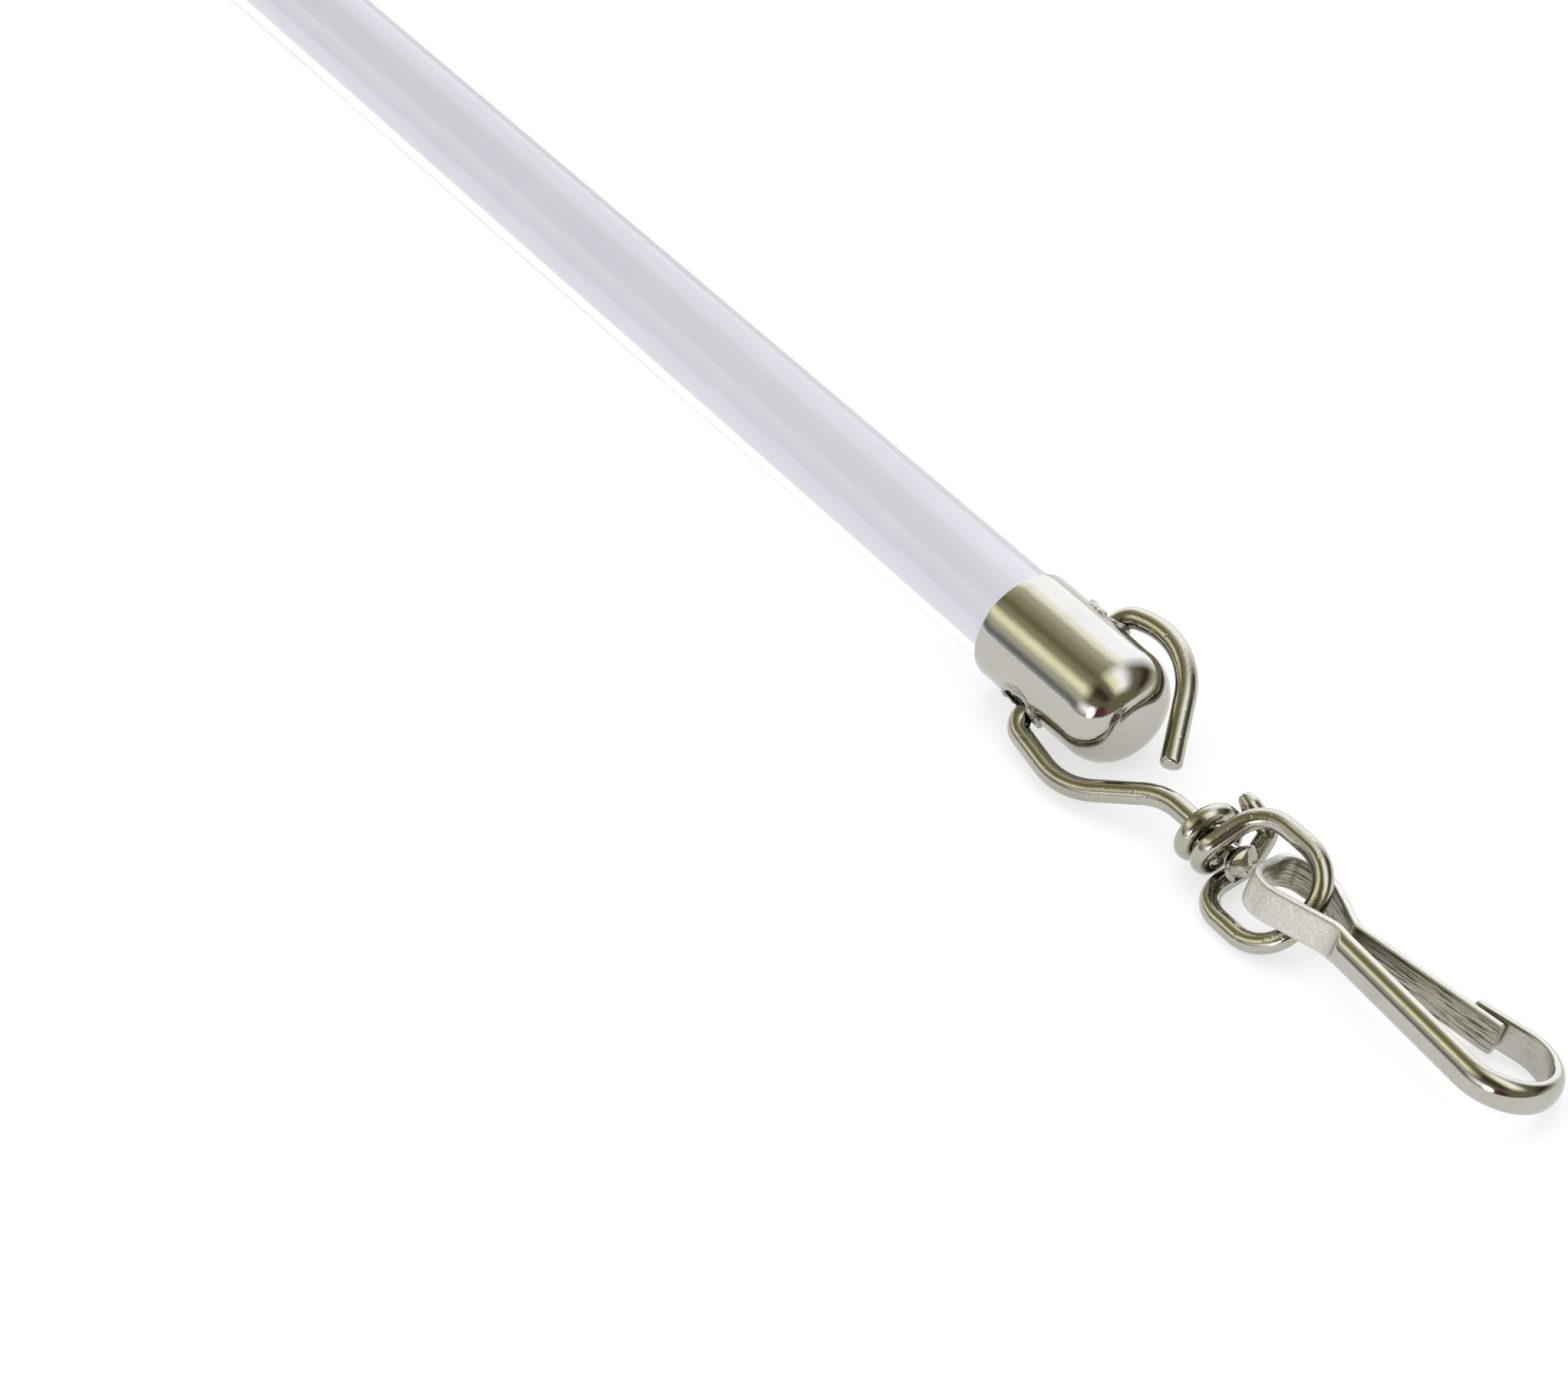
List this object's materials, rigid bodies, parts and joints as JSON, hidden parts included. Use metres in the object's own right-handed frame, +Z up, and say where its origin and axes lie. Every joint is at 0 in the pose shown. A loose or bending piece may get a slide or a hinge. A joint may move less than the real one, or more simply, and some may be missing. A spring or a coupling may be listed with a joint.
{
  "type": "curtain wand",
  "caption": "Long clear round rod with a metal end cap, a bent wire hook through it, a swivel eye and a sprung snap hook, used to draw a curtain by hand.",
  "frame": {"origin": "on the table under the rod's axis, midway along the whole length", "axes": "+X along the rod towards the snap hook, +Z up from the table"},
  "size_m": [0.8154, 0.0157, 0.0107],
  "materials": {
    "clear_rod": "clear extruded rod, slightly cloudy",
    "cap_metal": "polished nickel plate",
    "wire_metal": "polished nickel plate on drawn wire",
    "strip_metal": "tumbled nickel plate, flat faces slightly grainy"
  },
  "bodies": {
    "stick": {"rod": "clear_rod", "cap": "cap_metal"},
    "hook": {"hook_wire": "wire_metal"},
    "eye": {"swivel_eye": "wire_metal"},
    "snap": {"snap_hook": "strip_metal"},
    "tongue": {"snap_tongue": "strip_metal"}
  },
  "joints": [
    {"name": "hook_swing", "type": "hinge", "parent": "stick", "child": "hook", "pos_m": [0.34892, 0, 0.00537], "axis": [0, 0.8886, 0.4586], "range_deg": [-120, 120]},
    {"name": "swivel_spin", "type": "hinge", "parent": "hook", "child": "eye", "pos_m": [0.36992, -0.00251, 0.00383], "axis": [0.9999, 0.0048, -0.0093], "continuous": true},
    {"name": "snap_swing", "type": "hinge", "parent": "eye", "child": "snap", "pos_m": [0.38192, -0.0016, 0.00434], "axis": [0.0016, 0.809, 0.5878], "range_deg": [-100, 20]},
    {"name": "tongue_press", "type": "hinge", "parent": "snap", "child": "tongue", "pos_m": [0.3871, -0.00097, 0.00398], "axis": [-0.0194, -0.3697, -0.929], "range_deg": [0, 12], "stiffness_Nm_per_rad": 0.04}
  ]
}
